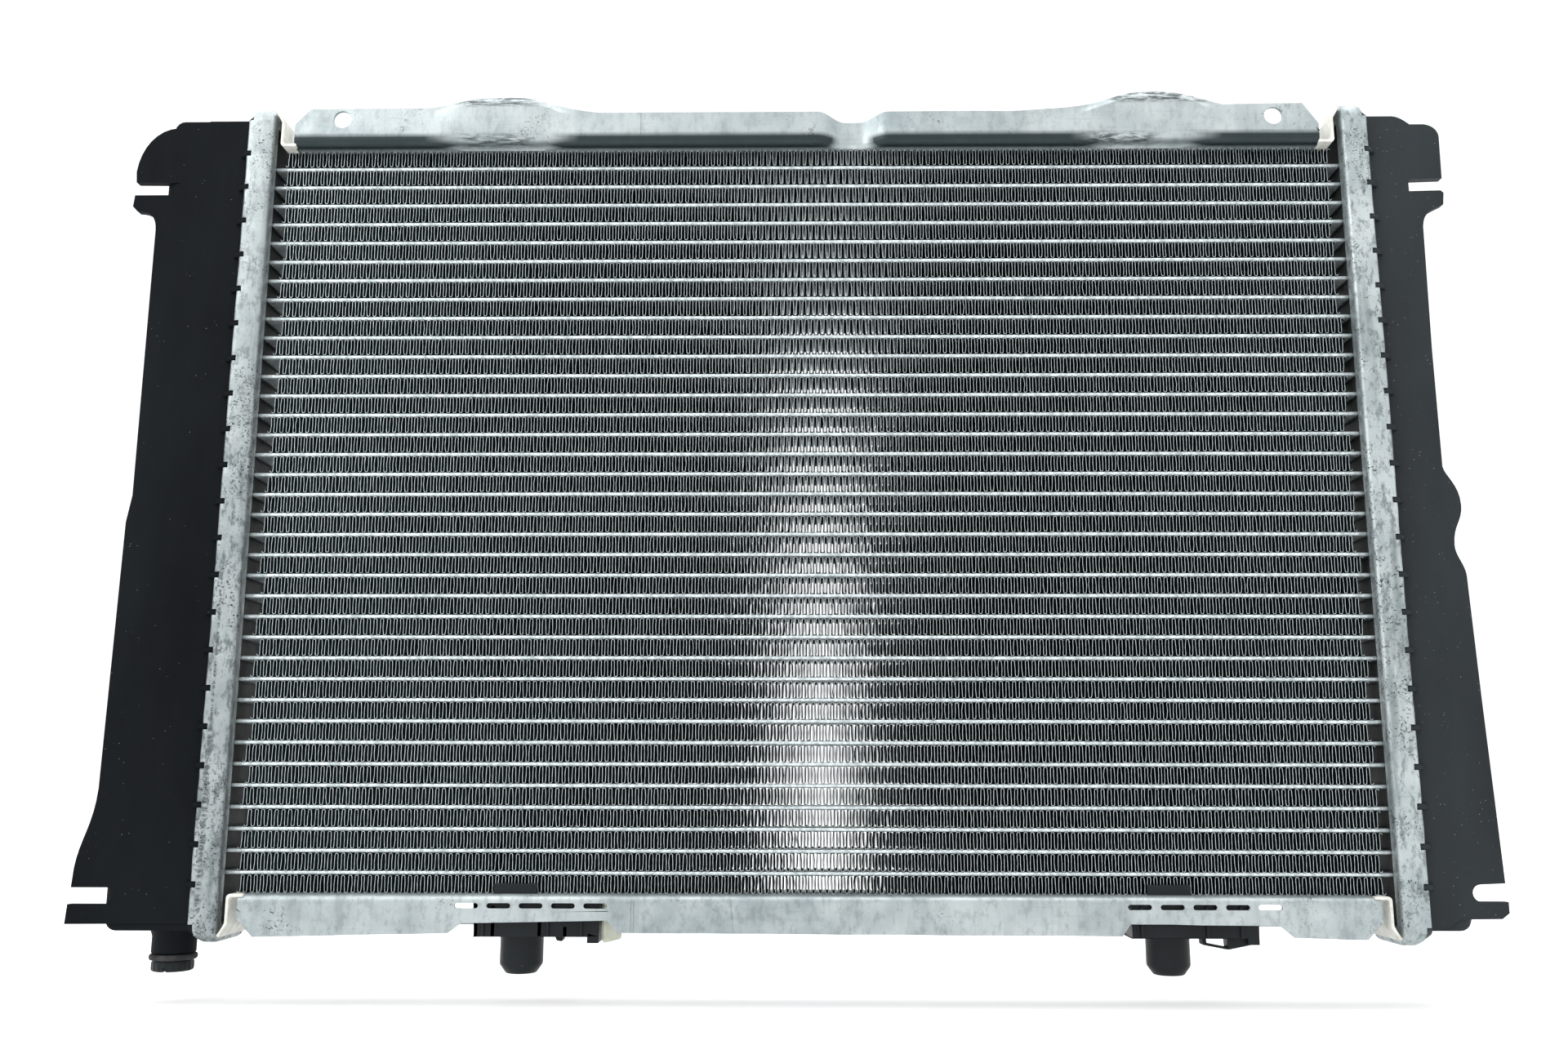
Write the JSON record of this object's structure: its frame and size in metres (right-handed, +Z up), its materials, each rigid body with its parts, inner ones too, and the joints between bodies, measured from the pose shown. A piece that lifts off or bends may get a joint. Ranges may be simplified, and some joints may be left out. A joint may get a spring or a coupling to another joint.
{
  "type": "car radiator",
  "caption": "Cross-flow car radiator with a brazed aluminium tube-and-fin core, crimped plastic end tanks, side plates, foot pins and a screw-out drain plug.",
  "frame": {"origin": "midway between the two foot pins, level with the flat lower ends that stand in the car's rubber bushes", "axes": "+X across the core to the right seen from the front, +Y through the core towards the engine side where the hose necks point, +Z up"},
  "size_m": [0.6895, 0.068, 0.4503],
  "materials": {
    "sheet_aluminium": "bare, mottled, lightly scratched",
    "tube_aluminium": "bare, with braze residue",
    "fin_aluminium": "bare thin sheet, grey in the depth of the core",
    "tank_plastic": "black glass-filled moulding, dusty satin",
    "fitting_plastic": "black moulding, satin",
    "seal_rubber": "matte"
  },
  "bodies": {
    "radiator": {"tube_01": "tube_aluminium", "tube_02": "tube_aluminium", "tube_03": "tube_aluminium", "tube_04": "tube_aluminium", "tube_05": "tube_aluminium", "tube_06": "tube_aluminium", "tube_07": "tube_aluminium", "tube_08": "tube_aluminium", "tube_09": "tube_aluminium", "tube_10": "tube_aluminium", "tube_11": "tube_aluminium", "tube_12": "tube_aluminium", "tube_13": "tube_aluminium", "tube_14": "tube_aluminium", "tube_15": "tube_aluminium", "tube_16": "tube_aluminium", "tube_17": "tube_aluminium", "tube_18": "tube_aluminium", "tube_19": "tube_aluminium", "tube_20": "tube_aluminium", "tube_21": "tube_aluminium", "tube_22": "tube_aluminium", "tube_23": "tube_aluminium", "tube_24": "tube_aluminium", "tube_25": "tube_aluminium", "tube_26": "tube_aluminium", "tube_27": "tube_aluminium", "tube_28": "tube_aluminium", "tube_29": "tube_aluminium", "tube_30": "tube_aluminium", "tube_31": "tube_aluminium", "tube_32": "tube_aluminium", "tube_33": "tube_aluminium", "tube_34": "tube_aluminium", "tube_35": "tube_aluminium", "tube_36": "tube_aluminium", "fin_pack_01": "fin_aluminium", "fin_pack_02": "fin_aluminium", "fin_pack_03": "fin_aluminium", "fin_pack_04": "fin_aluminium", "fin_pack_05": "fin_aluminium", "fin_pack_06": "fin_aluminium", "fin_pack_07": "fin_aluminium", "fin_pack_08": "fin_aluminium", "header_left": "sheet_aluminium", "header_right": "sheet_aluminium", "top_side_plate": "sheet_aluminium", "bottom_side_plate": "sheet_aluminium", "gasket_left": "seal_rubber", "gasket_right": "seal_rubber", "tank_left": "tank_plastic", "tank_right": "tank_plastic", "foot_left": "fitting_plastic", "foot_right": "fitting_plastic"},
    "plug_seal": {"drain_plug_seal": "seal_rubber"},
    "drain_plug": {"drain_plug": "fitting_plastic"}
  },
  "joints": [
    {"name": "plug_travel", "type": "slide", "parent": "radiator", "child": "plug_seal", "axis": [0, 0, -1], "range_m": [0, 0.0125]},
    {"name": "plug_turn", "type": "hinge", "parent": "plug_seal", "child": "drain_plug", "pos_m": [-0.32695, 0, 0.0055], "axis": [0, 0, -1], "range_deg": [0, 1800]}
  ],
  "couplings": [
    {"joint": "plug_turn", "follows": "plug_travel", "rad_per_m": 2513.3}
  ]
}
